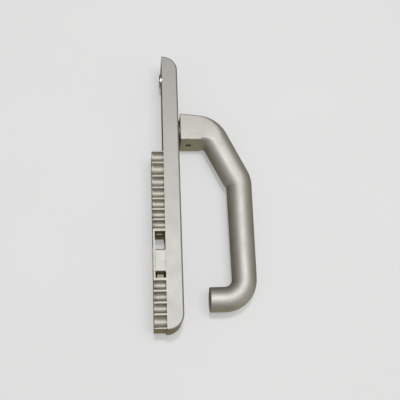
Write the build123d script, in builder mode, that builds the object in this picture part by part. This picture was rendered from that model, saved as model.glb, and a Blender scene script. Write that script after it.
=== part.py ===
from build123d import *
import math
import os

# Drive handle with a lever for a narrow door stile, sizes in millimetres.
# Frame: +X points out of the door towards the hand, +Z up along the plate, the origin is on the lever's
# turning axis in the plane of the plate's back.

# Backplate
plate_width = 28.0
plate_depth = 13.0
plate_height = 232.0
plate_above_axis = 65.0
plate_end_land = 0.5
plate_edge_radius = 1.0
front_wall = 2.5
side_wall = 2.0
end_wall = 2.5
boss_wall = 2.0

# Lever bearing in the plate's front wall
journal_radius = 8.0
journal_clearance = 0.05
bush_wall = 1.45
bush_flange_radius = 10.2
bush_flange_depth = 1.0
bush_seat_length = 3.5
bush_edge = 0.3
hub_gap = 0.3
hub_shoulder_radius = 8.7
neck_gap = 1.5

# Lever
neck_width = 26.0
neck_height = 23.2
neck_corner = 1.6
neck_droop_angle = 2.4
neck_bend_start = 31.5
neck_bend_radius = 15.8
neck_bend_depth = 21.2
neck_bend_steps = 4
side_crown_angle = 1.0
diagonal_angle = 64.3
diagonal_top_width = 24.2
diagonal_top_depth = 22.3
diagonal_top_corner = 7.6
diagonal_foot_width = 21.8
diagonal_foot_depth = 22.9
diagonal_foot_corner = 10.4
knee_radius = 18.0
knee_steps = 3
grip_radius = 9.9
grip_top_radius = 10.55
grip_reach = 62.2
grip_drop = 142.4
grip_bend_radius = 15.5
grip_end_reach = 34.2
grip_end_edge = 0.5

# Spindle, pinion and what holds the lever in the plate
spindle_side = 8.0
spindle_end_gap = 0.5
spindle_hold = 12.0
spindle_edge = 0.4
grub_radius = 2.5
grub_length = 5.0
grub_key = 2.5
grub_from_plate = 7.0
gear_module = 1.0
pinion_teeth = 16
pressure_angle = 20.0
tooth_addendum = 0.9
tooth_dedendum = 1.15
flank_backlash = 0.15
mesh_clearance = 0.08
flank_steps = 5
tooth_overlap = 0.3
pinion_gap = 0.7
pinion_width = 4.5
journal_step = 0.2
ring_depth = 1.0
ring_outer_radius = 9.3
ring_groove_radius = 7.2
ring_mouth = 6.0
washer_sheet = 0.3
spring_washer_depth = 0.5
thrust_washer_depth = 0.6
thrust_washer_radius = 11.4
running_gap = 0.3

# Rack, carriage and driver bush
rack_depth = 4.0
rack_addendum = 0.85
rack_back = 1.7
rack_root_gap = 0.05
rack_teeth_above = 2
rack_end_margin = 2.8
mesh_reach = 6.0
rack_foot_half = 10.5
rack_arm_length = 56.0
rack_bar_half = 5.0
rack_step_height = 8.0
carriage_from_window = 14.3
carriage_height = 18.0
carriage_rail_gap = 0.3
carriage_side_inset = 0.6
carriage_front_gap = 0.4
carriage_neck_inset = 0.5
driver_radius = 3.1
driver_wall = 1.4
driver_depth = 7.0
carriage_screw_radius = 1.5
carriage_screw_offset = 8.0
carriage_screw_head = 2.8
carriage_screw_key = 2.0
carriage_corner = 1.2
pad_height = 3.0
pad_depth = 1.6
pad_inset = 2.4
pad_edge = 1.0
pad_gap = 0.15
guide_length = 28.0
guide_gap = 0.15

# Gear housing
housing_depth = 9.6
housing_half = 13.0
housing_top = -22.3
housing_end_inset = 1.5
housing_back_wall = 1.3
upper_pitch_shares = (10.0, 11.4, 10.0, 9.3, 8.8, 8.5, 8.2)
lower_pitch_shares = (8.7, 9.0, 8.9, 10.7)
crest_width = 1.3
window_lip = 1.2
window_height = 37.3
pocket_depth = 3.4
core_half = 6.0
core_depth = 6.0
core_margin = 4.6
core_corner = 2.0
driver_slot_gap = 2.4
buffer_gap = 0.4
buffer_half = 6.0
buffer_inset = 1.5
buffer_corner = 1.0

# Fixings
insert_radius = 6.0
insert_proud = 1.7
insert_depth = 8.3
insert_height = 48.0
lower_insert_radius = 5.0
insert_edge = 0.4
fixing_thread_radius = 2.1
fixing_thread_length = 9.0
housing_screw_radius = 2.0
housing_screw_head = 3.8
housing_screw_key = 2.5
housing_screw_reach = 7.0
housing_screw_inset = 6.7
cover_depth = 1.5
cover_ledge = 1.0
cover_gap = 0.1
cover_top = 34.5
cover_foot_gap = 0.3
cover_screw_radius = 1.5
cover_screw_head = 2.8
cover_screw_key = 2.0
cover_screw_reach = 6.0
cover_screw_places = ((0.0, 30.0), (8.0, -17.5))

# Worked out from the sizes above
plate_half = plate_width / 2
plate_below_axis = plate_height - plate_above_axis
plate_end_radius = plate_depth - plate_end_land
hollow_half = plate_half - side_wall
hollow_depth = plate_depth - front_wall
bush_outer_radius = journal_radius + journal_clearance + bush_wall
bush_seat = plate_depth - bush_seat_length
bush_face = plate_depth + bush_flange_depth
neck_start = plate_depth + neck_gap
pinion_start = cover_depth + pinion_gap
pinion_end = pinion_start + pinion_width
journal_end = pinion_end + journal_step
thrust_face = bush_seat - thrust_washer_depth
spring_face = thrust_face - running_gap
ring_front = spring_face - spring_washer_depth
ring_back = ring_front - ring_depth
pitch_radius = gear_module * pinion_teeth / 2
base_radius = pitch_radius * math.cos(math.radians(pressure_angle))
tip_radius = pitch_radius + tooth_addendum * gear_module
root_radius = pitch_radius - tooth_dedendum * gear_module
rack_pitch_line = -(pitch_radius + mesh_clearance)
tooth_pitch = math.pi * gear_module
stroke = pitch_radius * math.pi / 2
housing_bottom = housing_end_inset - plate_below_axis
ribbed_height = housing_top - housing_bottom - window_height - 2 * window_lip
pitch_scale = ribbed_height / (sum(upper_pitch_shares) + sum(lower_pitch_shares))
upper_pitches = [share * pitch_scale for share in upper_pitch_shares]
lower_pitches = [share * pitch_scale for share in lower_pitch_shares]
window_top = housing_top - sum(upper_pitches) - window_lip
window_bottom = window_top - window_height
rail_face = housing_back_wall - housing_depth
carriage_top = window_top - carriage_from_window
carriage_bottom = carriage_top - carriage_height
carriage_middle = carriage_top - carriage_height / 2
carriage_back = rail_face + carriage_rail_gap
carriage_half = housing_half - carriage_side_inset
carriage_neck_half = hollow_half - carriage_neck_inset
housing_screw_heights = (
    housing_top - housing_screw_inset,
    window_bottom - housing_screw_inset,
    housing_screw_inset - plate_below_axis,
)
lower_insert_height = (housing_screw_heights[1] + housing_screw_heights[2]) / 2


def side_face(depth, top, bottom, radius):
    """Makes a side view from the back plane at x = 0, with a quarter circle at the front of each end."""
    land = depth - radius
    with BuildSketch(Plane.XZ) as side:
        with BuildLine():
            Polyline((land, bottom), (0, bottom), (0, top), (land, top))
            CenterArc((land, top - radius), radius, 0, 90)
            Line((depth, top - radius), (depth, bottom + radius))
            CenterArc((land, bottom + radius), radius, 270, 90)
        make_face()
    return side.sketch


def seen_from_behind(back, across, up):
    """Plane at a point of a back face, looking out of it along -X."""
    return Plane(origin=(back, across, up), x_dir=(0, 1, 0), z_dir=(-1, 0, 0))


def across_lever(reach, height, tilt):
    """Plane across the lever at a point of its centre line that runs tilt degrees below horizontal."""
    turn = math.radians(tilt)
    along = (math.cos(turn), 0, -math.sin(turn))
    return Plane(origin=(reach, 0, height), x_dir=(0, 1, 0), z_dir=along)


def lever_section(plane, width, depth, corner):
    """Makes a section of the lever: four slightly crowned sides that run smoothly into round corners.

    With the corner as large as half the width and depth it is a circle."""
    crown = math.radians(side_crown_angle)
    lean = math.sin(crown)
    rise = 1 - math.cos(crown)
    across = width / 2 + corner * (lean + rise - 1)
    up = depth / 2 + corner * (lean + rise - 1)
    top_radius = (across * lean - up * rise) / (lean**2 - rise**2)
    side_radius = (up * lean - across * rise) / (lean**2 - rise**2)
    inset = side_radius - corner
    corner_centre = (width / 2 - side_radius + inset * math.cos(crown), inset * lean)

    def place(angle):
        """Point of the outline that faces an angle."""
        cosine = math.cos(math.radians(angle))
        sine = math.sin(math.radians(angle))
        facing = min(angle % 90, -angle % 90)
        if facing > side_crown_angle + 1e-6:
            x = corner_centre[0] + corner * abs(cosine)
            y = corner_centre[1] + corner * abs(sine)
        elif abs(cosine) > abs(sine):
            x = width / 2 - side_radius + side_radius * abs(cosine)
            y = side_radius * abs(sine)
        else:
            x = top_radius * abs(cosine)
            y = depth / 2 - top_radius + top_radius * abs(sine)
        return (math.copysign(x, cosine), math.copysign(y, sine))

    stops = [facing + hand * side_crown_angle for facing in (0, 90, 180, 270) for hand in (-1, 1)]
    arcs = []
    for start, end in zip(stops, stops[1:] + [360 - side_crown_angle]):
        arcs.append(ThreePointArc(place(start), place((start + end) / 2), place(end)).edge())
    return plane * Face(Wire(arcs))


# Backplate: a shell that is open at the back, with bosses that stand on its front wall
with BuildPart() as backplate:
    plate_side = side_face(plate_depth, plate_above_axis, -plate_below_axis, plate_end_radius)
    extrude(plate_side, amount=plate_half, both=True)
    long_sides = backplate.faces().filter_by(Axis.Y)
    front_edges = long_sides.edges().filter_by(lambda edge: edge.center().X > plate_edge_radius / 4)
    fillet(front_edges, plate_edge_radius)
    hollow_side = side_face(
        hollow_depth,
        plate_above_axis - end_wall,
        end_wall - plate_below_axis,
        plate_end_radius - front_wall,
    )
    extrude(hollow_side, amount=hollow_half, both=True, mode=Mode.SUBTRACT)
    # ledge that the mechanism cover lies on
    with BuildSketch(Plane.YZ):
        with BuildLine():
            Polyline(
                (-hollow_half - cover_ledge, housing_top + cover_foot_gap),
                (hollow_half + cover_ledge, housing_top + cover_foot_gap),
                (hollow_half + cover_ledge, cover_top),
                (-hollow_half - cover_ledge, cover_top),
                close=True,
            )
        make_face()
    extrude(amount=cover_depth, mode=Mode.SUBTRACT)
    # bosses on the front wall, for the bush, the two inserts and the screws
    with BuildSketch(Plane.YZ.offset(bush_seat)):
        Circle(hollow_half)
    extrude(amount=hollow_depth - bush_seat)
    with BuildSketch(Plane.YZ):
        with Locations((0, insert_height)):
            Circle(insert_radius + boss_wall)
    extrude(amount=hollow_depth)
    with BuildSketch(Plane.YZ):
        with Locations((0, lower_insert_height)):
            Circle(lower_insert_radius + boss_wall)
        with Locations(*[(0, height) for height in housing_screw_heights]):
            Circle(housing_screw_radius + boss_wall)
    extrude(amount=hollow_depth)
    with BuildSketch(Plane.YZ.offset(cover_depth)):
        with Locations(*cover_screw_places):
            Circle(cover_screw_radius + boss_wall)
    extrude(amount=hollow_depth - cover_depth)
    # bores
    with BuildSketch(Plane.YZ.offset(bush_seat)):
        Circle(bush_outer_radius)
    extrude(amount=bush_seat_length, mode=Mode.SUBTRACT)
    with BuildSketch(Plane.YZ):
        with Locations((0, insert_height)):
            Circle(insert_radius)
        with Locations((0, lower_insert_height)):
            Circle(lower_insert_radius)
    extrude(amount=insert_depth, mode=Mode.SUBTRACT)
    with BuildSketch(Plane.YZ):
        with Locations(*[(0, height) for height in housing_screw_heights]):
            Circle(housing_screw_radius)
    extrude(amount=housing_screw_reach, mode=Mode.SUBTRACT)
    with BuildSketch(Plane.YZ):
        with Locations(*cover_screw_places):
            Circle(cover_screw_radius)
    extrude(amount=cover_screw_reach, mode=Mode.SUBTRACT)

# Flanged bush that the lever's journal turns in
with BuildPart() as bearing_bush:
    with BuildSketch(Plane.YZ.offset(bush_seat)):
        Circle(bush_outer_radius)
    extrude(amount=bush_seat_length)
    with BuildSketch(Plane.YZ.offset(plate_depth)):
        Circle(bush_flange_radius)
    extrude(amount=bush_flange_depth)
    chamfer(bearing_bush.faces().sort_by(Axis.X)[-1].edges(), bush_edge)
    with BuildSketch(Plane.YZ.offset(bush_seat)):
        Circle(journal_radius + journal_clearance)
    extrude(amount=bush_face - bush_seat, mode=Mode.SUBTRACT)

with BuildPart() as thrust_washer:
    with BuildSketch(Plane.YZ.offset(thrust_face)):
        Circle(thrust_washer_radius)
        Circle(journal_radius + running_gap, mode=Mode.SUBTRACT)
    extrude(amount=thrust_washer_depth)

# Lever: a squared neck that droops a little, a diagonal that rounds into a tube, and a short return
droop = math.radians(neck_droop_angle)
slope = math.radians(diagonal_angle)
neck_fall = (neck_bend_start - neck_start) * math.tan(droop)
bend_centre_reach = neck_bend_start - neck_bend_radius * math.sin(droop)
bend_centre_height = -neck_fall - neck_bend_radius * math.cos(droop)
diagonal_start_reach = bend_centre_reach + neck_bend_radius * math.sin(slope)
diagonal_start_height = bend_centre_height + neck_bend_radius * math.cos(slope)
diagonal_run = grip_reach - knee_radius * (1 - math.sin(slope)) - diagonal_start_reach
diagonal_fall = diagonal_run * math.tan(slope)
grip_top = diagonal_start_height - diagonal_fall - knee_radius * math.cos(slope)
grip_bottom = grip_bend_radius - grip_drop
return_start = grip_reach - grip_bend_radius
return_axis = Axis((return_start, 0, grip_bottom), (0, 1, 0))
knee_reach = grip_reach - knee_radius


def bend_place(centre_reach, centre_height, radius, tilt):
    """Plane across the lever in a bend, where its centre line runs tilt degrees below horizontal."""
    turn = math.radians(tilt)
    reach = centre_reach + radius * math.sin(turn)
    return across_lever(reach, centre_height + radius * math.cos(turn), tilt)


def sections_between(first, last, places):
    """Sections on planes from one (width, depth, corner) to another, without the first."""
    steps = len(places) - 1
    sizes = [[a + (b - a) * step / steps for a, b in zip(first, last)] for step in range(steps + 1)]
    return [lever_section(place, *size) for place, size in list(zip(places, sizes))[1:]]


neck_size = (neck_width, neck_bend_depth, neck_corner)
diagonal_top_size = (diagonal_top_width, diagonal_top_depth, diagonal_top_corner)
diagonal_foot_size = (diagonal_foot_width, diagonal_foot_depth, diagonal_foot_corner)
grip_size = (2 * grip_top_radius, 2 * grip_top_radius, grip_top_radius)
neck_turn = diagonal_angle - neck_droop_angle
neck_places = [
    bend_place(
        bend_centre_reach,
        bend_centre_height,
        neck_bend_radius,
        neck_droop_angle + neck_turn * step / neck_bend_steps,
    )
    for step in range(neck_bend_steps + 1)
]
knee_turn = 90 - diagonal_angle
knee_places = [
    bend_place(knee_reach, grip_top, knee_radius, diagonal_angle + knee_turn * step / knee_steps)
    for step in range(knee_steps + 1)
]
neck_face = lever_section(across_lever(neck_start, 0, 0), neck_width, neck_height, neck_corner)
bend_face = lever_section(neck_places[0], *neck_size)
neck_bend_faces = [bend_face, *sections_between(neck_size, diagonal_top_size, neck_places)]
diagonal_foot_face = lever_section(knee_places[0], *diagonal_foot_size)
knee_faces = [diagonal_foot_face, *sections_between(diagonal_foot_size, grip_size, knee_places)]

with BuildPart() as lever_handle:
    loft([neck_face, bend_face], ruled=True)
    loft(neck_bend_faces)
    loft([neck_bend_faces[-1], diagonal_foot_face], ruled=True)
    loft(knee_faces)
    with BuildSketch(Plane.XY.offset(grip_top)):
        with Locations((grip_reach, 0)):
            Circle(grip_top_radius)
    with BuildSketch(Plane.XY.offset(grip_bottom)):
        with Locations((grip_reach, 0)):
            Circle(grip_radius)
    loft(ruled=True)
    with BuildSketch(Plane.XY.offset(grip_bottom)):
        with Locations((grip_reach, 0)):
            Circle(grip_radius)
    revolve(axis=return_axis, revolution_arc=90)
    with BuildSketch(Plane.YZ.offset(grip_end_reach)):
        with Locations((0, -grip_drop)):
            Circle(grip_radius)
    extrude(amount=return_start - grip_end_reach)
    chamfer(lever_handle.faces().filter_by(Axis.X).sort_by(Axis.Z)[0].edges(), grip_end_edge)
    # turned journal behind the neck, with a shoulder and a groove for the ring
    with BuildSketch(Plane.YZ.offset(journal_end)):
        Circle(journal_radius)
    extrude(amount=neck_start - journal_end)
    with BuildSketch(Plane.YZ.offset(bush_face + hub_gap)):
        Circle(hub_shoulder_radius)
    extrude(amount=neck_start - bush_face - hub_gap)
    with BuildSketch(Plane.YZ.offset(ring_back)):
        Circle(journal_radius)
        Circle(ring_groove_radius, mode=Mode.SUBTRACT)
    extrude(amount=ring_depth, mode=Mode.SUBTRACT)
    # square socket for the spindle, and the grub screw's hole from below
    with BuildSketch(Plane.YZ.offset(journal_end)):
        Rectangle(spindle_side, spindle_side)
    extrude(amount=neck_start + spindle_hold - journal_end, mode=Mode.SUBTRACT)
    with BuildSketch(Plane.XY.offset(-neck_height)):
        with Locations((neck_start + grub_from_plate, 0)):
            Circle(grub_radius)
    extrude(amount=neck_height, mode=Mode.SUBTRACT)

with BuildPart() as square_spindle:
    with BuildSketch(Plane.YZ.offset(cover_depth + spindle_end_gap)):
        Rectangle(spindle_side, spindle_side)
    extrude(amount=neck_start + spindle_hold - cover_depth - spindle_end_gap)
    chamfer(square_spindle.edges().filter_by(Axis.X), spindle_edge)

with BuildPart() as spindle_grub_screw:
    with BuildSketch(Plane.XY.offset(-spindle_side / 2 - grub_length)):
        with Locations((neck_start + grub_from_plate, 0)):
            Circle(grub_radius)
    extrude(amount=grub_length)
    with BuildSketch(Plane.XY.offset(-spindle_side / 2 - grub_length)):
        with Locations((neck_start + grub_from_plate, 0)):
            RegularPolygon(grub_key / 2, 6, major_radius=False)
    extrude(amount=grub_key, mode=Mode.SUBTRACT)


def involute(angle):
    """Involute function of an angle in radians."""
    return math.tan(angle) - angle


def tooth_half_angle(radius):
    """Half the angle that a pinion tooth takes up at a radius, in radians."""
    at_pitch = math.pi / (2 * pinion_teeth) - flank_backlash / (2 * pitch_radius)
    rise = involute(math.acos(base_radius / max(radius, base_radius)))
    return at_pitch + involute(math.radians(pressure_angle)) - rise


# Pinion: involute teeth on a square bore
with BuildSketch(Plane.YZ.offset(pinion_start)) as pinion_face:
    Circle(root_radius)
    flank = []
    for step in range(flank_steps + 1):
        flank_radius = base_radius + (tip_radius - base_radius) * step / flank_steps
        half_angle = tooth_half_angle(flank_radius)
        flank.append((flank_radius * math.cos(half_angle), flank_radius * math.sin(half_angle)))
    root_angle = tooth_half_angle(base_radius)
    inside = (root_radius - tooth_overlap) * math.cos(root_angle)
    foot = (inside, inside * math.tan(root_angle))
    with BuildLine():
        Line(foot, flank[0])
        Spline(*flank)
        ThreePointArc(flank[-1], (tip_radius, 0), (flank[-1][0], -flank[-1][1]))
        Spline(*[(across, -up) for across, up in reversed(flank)])
        Line((flank[0][0], -flank[0][1]), (foot[0], -foot[1]))
        Line((foot[0], -foot[1]), foot)
    tooth = make_face(mode=Mode.PRIVATE)
    with PolarLocations(0, pinion_teeth):
        add(tooth)
    Rectangle(spindle_side, spindle_side, mode=Mode.SUBTRACT)
with BuildPart() as pinion:
    extrude(pinion_face.sketch, amount=pinion_width)

with BuildPart() as retaining_ring:
    with BuildSketch(Plane.YZ.offset(ring_back)):
        Circle(ring_outer_radius)
        Circle(ring_groove_radius, mode=Mode.SUBTRACT)
        with Locations((0, ring_outer_radius)):
            Rectangle(ring_mouth, 2 * ring_outer_radius, mode=Mode.SUBTRACT)
    extrude(amount=ring_depth)

# Spring washer: a shallow cone that presses on the ring
with BuildPart() as spring_washer:
    with BuildSketch(Plane.XZ):
        inner = journal_radius + running_gap
        with BuildLine():
            Polyline(
                (ring_front, ring_outer_radius),
                (ring_front + washer_sheet, ring_outer_radius),
                (spring_face, inner),
                (spring_face - washer_sheet, inner),
                close=True,
            )
        make_face()
    revolve(axis=Axis.X)

# Rack: a toothed arm beside the pinion that steps in to a bar on the plate's centre line
rack_root = rack_pitch_line - tooth_dedendum * gear_module - rack_root_gap
rack_tip = rack_pitch_line + rack_addendum * gear_module
rack_edge = rack_root - rack_back
rack_top = rack_teeth_above * tooth_pitch - tooth_pitch / 2 + rack_end_margin
rack_teeth = rack_teeth_above + math.ceil((stroke + mesh_reach) / tooth_pitch)
arm_bottom = rack_top - rack_arm_length
half_slope = math.tan(math.radians(pressure_angle))
carriage_screw_places = [(side * carriage_screw_offset, carriage_middle) for side in (-1, 1)]
with BuildPart() as rack_bar:
    with BuildSketch(Plane.YZ.offset(pinion_start)):
        with BuildLine():
            Polyline(
                (rack_edge, rack_top),
                (rack_root, rack_top),
                (rack_root, arm_bottom),
                (rack_bar_half, arm_bottom),
                (rack_bar_half, carriage_top),
                (rack_foot_half, carriage_top),
                (rack_foot_half, carriage_bottom),
                (-rack_foot_half, carriage_bottom),
                (-rack_foot_half, carriage_top),
                (-rack_bar_half, carriage_top),
                (-rack_bar_half, arm_bottom - rack_step_height),
                (rack_edge, arm_bottom - rack_step_height),
                close=True,
            )
        make_face()
        half_root = tooth_pitch / 4 - flank_backlash / 2 + (rack_pitch_line - rack_root) * half_slope
        half_tip = half_root - (rack_tip - rack_root) * half_slope
        with BuildLine():
            Polyline(
                (rack_root - tooth_overlap, half_root),
                (rack_root, half_root),
                (rack_tip, half_tip),
                (rack_tip, -half_tip),
                (rack_root, -half_root),
                (rack_root - tooth_overlap, -half_root),
                close=True,
            )
        rack_tooth = make_face(mode=Mode.PRIVATE)
        first_tooth = rack_teeth_above * tooth_pitch - tooth_pitch / 2
        with Locations(*[(0, first_tooth - step * tooth_pitch) for step in range(rack_teeth)]):
            add(rack_tooth)
    extrude(amount=rack_depth)
    with BuildSketch(Plane.YZ.offset(pinion_start)):
        with Locations(*carriage_screw_places):
            Circle(carriage_screw_radius)
    extrude(amount=rack_depth, mode=Mode.SUBTRACT)

# Carriage: slides in the housing's window, with a neck that reaches the rack bar through the plate's back
with BuildPart() as driver_carriage:
    with BuildSketch(Plane.YZ.offset(carriage_back)):
        with Locations((0, carriage_middle)):
            RectangleRounded(2 * carriage_half, carriage_height, carriage_corner)
    extrude(amount=-carriage_front_gap - carriage_back)
    with BuildSketch(Plane.YZ.offset(-carriage_front_gap)):
        with Locations((0, carriage_middle)):
            Rectangle(2 * carriage_neck_half, carriage_height)
    extrude(amount=pinion_start + carriage_front_gap)
    with BuildSketch(Plane.YZ.offset(carriage_back)):
        with Locations((0, carriage_middle)):
            Circle(driver_radius + driver_wall)
    extrude(amount=driver_depth, mode=Mode.SUBTRACT)
    with BuildSketch(Plane.YZ.offset(carriage_back)):
        with Locations((0, carriage_top - pad_inset), (0, carriage_bottom + pad_inset)):
            Rectangle(2 * (carriage_half - pad_edge), pad_height)
    extrude(amount=pad_depth, mode=Mode.SUBTRACT)
    with Locations(*[seen_from_behind(carriage_back, across, up) for across, up in carriage_screw_places]):
        CounterSinkHole(carriage_screw_radius, carriage_screw_head)

with BuildPart() as driver_bush:
    with BuildSketch(Plane.YZ.offset(carriage_back)):
        with Locations((0, carriage_middle)):
            Circle(driver_radius + driver_wall)
            Circle(driver_radius, mode=Mode.SUBTRACT)
    extrude(amount=driver_depth)


def countersunk_screw(places, back, radius, head_radius, reach, recess):
    """Makes screws with flat heads in the plane x = back, that point along +X."""
    with BuildPart() as screws:
        with Locations(*[(back, across, up) for across, up in places]):
            Cone(
                head_radius,
                radius,
                head_radius - radius,
                rotation=(0, 90, 0),
                align=(Align.CENTER, Align.CENTER, Align.MIN),
            )
            Cylinder(radius, reach, rotation=(0, 90, 0), align=(Align.CENTER, Align.CENTER, Align.MIN))
        with BuildSketch(Plane.YZ.offset(back)):
            with Locations(*places):
                RegularPolygon(recess / 2, 6, major_radius=False)
        extrude(amount=head_radius - radius, mode=Mode.SUBTRACT)
    return screws


carriage_screws = countersunk_screw(
    carriage_screw_places,
    carriage_back,
    carriage_screw_radius,
    carriage_screw_head,
    pinion_start + rack_depth - carriage_back,
    carriage_screw_key,
)


def slide_pad(up):
    """Makes a pad in the carriage's back groove at a height."""
    with BuildPart() as pad:
        with BuildSketch(Plane.YZ.offset(rail_face + pad_gap)):
            with Locations((0, up)):
                Rectangle(2 * (carriage_half - pad_edge), pad_height)
        extrude(amount=carriage_back + pad_depth - rail_face - pad_gap)
        chamfer(pad.faces().sort_by(Axis.X)[0].edges().filter_by(Axis.Y), pad_gap)
    return pad


slide_pad_upper = slide_pad(carriage_top - pad_inset)
slide_pad_lower = slide_pad(carriage_bottom + pad_inset)

with BuildPart() as rack_guide:
    with BuildSketch(Plane.YZ.offset(pinion_start)):
        with BuildLine():
            Polyline(
                (-hollow_half, guide_length / 2),
                (rack_edge - guide_gap, guide_length / 2),
                (rack_edge - guide_gap, -guide_length / 2),
                (-hollow_half, -guide_length / 2),
                close=True,
            )
        make_face()
    extrude(amount=rack_depth)

# Gear housing: a cast block with side pockets between narrow crests, and a window right through it
upper_edges = [housing_top - sum(upper_pitches[:count]) for count in range(len(upper_pitches) + 1)]
lower_start = window_bottom - window_lip
lower_edges = [lower_start - sum(lower_pitches[:count]) for count in range(len(lower_pitches) + 1)]
with BuildPart() as gear_housing:
    with BuildSketch(Plane.YZ.offset(-housing_depth)):
        with BuildLine():
            Polyline(
                (-housing_half, housing_top),
                (housing_half, housing_top),
                (housing_half, housing_bottom),
                (-housing_half, housing_bottom),
                close=True,
            )
        make_face()
    extrude(amount=housing_depth)
    with BuildSketch(Plane.YZ.offset(rail_face)):
        for edges in (upper_edges, lower_edges):
            for above, below in zip(edges, edges[1:]):
                half_chord = (above - below - crest_width) / 2
                pocket_radius = (half_chord**2 + pocket_depth**2) / (2 * pocket_depth)
                centre = housing_half - pocket_depth + pocket_radius
                middle = (above + below) / 2
                with Locations((centre, middle), (-centre, middle)):
                    Circle(pocket_radius)
        with Locations((0, (window_top + window_bottom) / 2)):
            Rectangle(2 * housing_half, window_height)
    extrude(amount=-rail_face, mode=Mode.SUBTRACT)
    core_top = housing_screw_heights[0] - housing_screw_radius - core_margin
    core_bottom = window_top + core_margin
    with BuildSketch(Plane.YZ):
        with Locations((0, (core_top + core_bottom) / 2)):
            RectangleRounded(2 * core_half, core_top - core_bottom, core_corner)
    extrude(amount=-core_depth, mode=Mode.SUBTRACT)
    # slot for the lock's drive pin, long enough for the stroke
    slot_radius = driver_radius + driver_slot_gap
    with BuildSketch(Plane.YZ.offset(-housing_depth)):
        with Locations((0, carriage_middle + stroke / 2)):
            SlotCenterToCenter(stroke, 2 * slot_radius, rotation=90)
    extrude(amount=housing_back_wall, mode=Mode.SUBTRACT)
    with BuildSketch(Plane.YZ.offset(-housing_depth)):
        with Locations((0, lower_insert_height)):
            Circle(lower_insert_radius)
    extrude(amount=housing_depth, mode=Mode.SUBTRACT)
    with Locations(*[seen_from_behind(-housing_depth, 0, height) for height in housing_screw_heights]):
        CounterSinkHole(housing_screw_radius, housing_screw_head)

housing_screws = countersunk_screw(
    [(0, height) for height in housing_screw_heights],
    -housing_depth,
    housing_screw_radius,
    housing_screw_head,
    housing_depth + housing_screw_reach,
    housing_screw_key,
)


def end_buffer(height, top, half):
    """Makes a rubber stop between two heights of the window."""
    with BuildPart() as buffer:
        with BuildSketch(Plane.YZ.offset(rail_face + buffer_inset)):
            with Locations((0, (height + top) / 2)):
                RectangleRounded(2 * half, top - height, min(buffer_corner, (top - height) / 3))
        extrude(amount=-rail_face - 2 * buffer_inset)
    return buffer


upper_buffer = end_buffer(carriage_top + stroke + buffer_gap, window_top, buffer_half)
lower_buffer = end_buffer(window_bottom, carriage_bottom - buffer_gap, buffer_half)

# Sheet that closes the plate's hollow behind the pinion
cover_half = hollow_half + cover_ledge - cover_gap
with BuildPart() as mechanism_cover:
    cover_foot = housing_top + cover_foot_gap + cover_gap
    with BuildSketch(Plane.YZ):
        with Locations((0, (cover_foot + cover_top - cover_gap) / 2)):
            Rectangle(2 * cover_half, cover_top - cover_gap - cover_foot)
    extrude(amount=cover_depth)
    with Locations(*[seen_from_behind(0, across, up) for across, up in cover_screw_places]):
        CounterSinkHole(cover_screw_radius, cover_screw_head)

cover_screws = countersunk_screw(
    cover_screw_places, 0, cover_screw_radius, cover_screw_head, cover_screw_reach, cover_screw_key
)


def threaded_insert(back, height, outer_radius, depth):
    """Makes a round steel insert with a blind hole that opens at its back."""
    with BuildPart() as insert:
        with BuildSketch(Plane.YZ.offset(back)):
            with Locations((0, height)):
                Circle(outer_radius)
        extrude(amount=depth)
        chamfer(insert.faces().sort_by(Axis.X)[0].edges(), insert_edge)
        with BuildSketch(Plane.YZ.offset(back)):
            with Locations((0, height)):
                Circle(fixing_thread_radius)
        extrude(amount=fixing_thread_length, mode=Mode.SUBTRACT)
    return insert


upper_fixing_insert = threaded_insert(
    -insert_proud, insert_height, insert_radius, insert_proud + insert_depth
)
lower_fixing_insert = threaded_insert(
    -housing_depth, lower_insert_height, lower_insert_radius, housing_depth + insert_depth
)

os.makedirs("parts", exist_ok=True)
pieces = {
    "backplate": backplate,
    "bearing_bush": bearing_bush,
    "thrust_washer": thrust_washer,
    "mechanism_cover": mechanism_cover,
    "cover_screws": cover_screws,
    "rack_guide": rack_guide,
    "upper_fixing_insert": upper_fixing_insert,
    "lower_fixing_insert": lower_fixing_insert,
    "gear_housing": gear_housing,
    "housing_screws": housing_screws,
    "upper_buffer": upper_buffer,
    "lower_buffer": lower_buffer,
    "lever_handle": lever_handle,
    "square_spindle": square_spindle,
    "spindle_grub_screw": spindle_grub_screw,
    "pinion": pinion,
    "retaining_ring": retaining_ring,
    "spring_washer": spring_washer,
    "rack_bar": rack_bar,
    "driver_carriage": driver_carriage,
    "carriage_screws": carriage_screws,
    "driver_bush": driver_bush,
    "slide_pad_upper": slide_pad_upper,
    "slide_pad_lower": slide_pad_lower,
}
for name, piece in pieces.items():
    piece.part.label = name
    export_step(piece.part, f"parts/{name}.step")
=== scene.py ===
"""Looks of a drive handle: a cast lever on a long narrow backplate, with a ribbed gear housing behind it.

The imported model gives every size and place. The lever is modelled anew as one smooth mesh. The plate, the
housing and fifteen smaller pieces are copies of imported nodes, with rounder edges and finer forms. All is
dressed in procedural finishes and lies on a pale table under soft lamps. Lengths are in metres.
"""

from __future__ import annotations

import logging
import math
from dataclasses import dataclass
from enum import Enum
from functools import cache
from typing import Callable, Mapping, Sequence, Union

import bmesh
import bpy
from mathutils import Matrix, Vector


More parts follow.
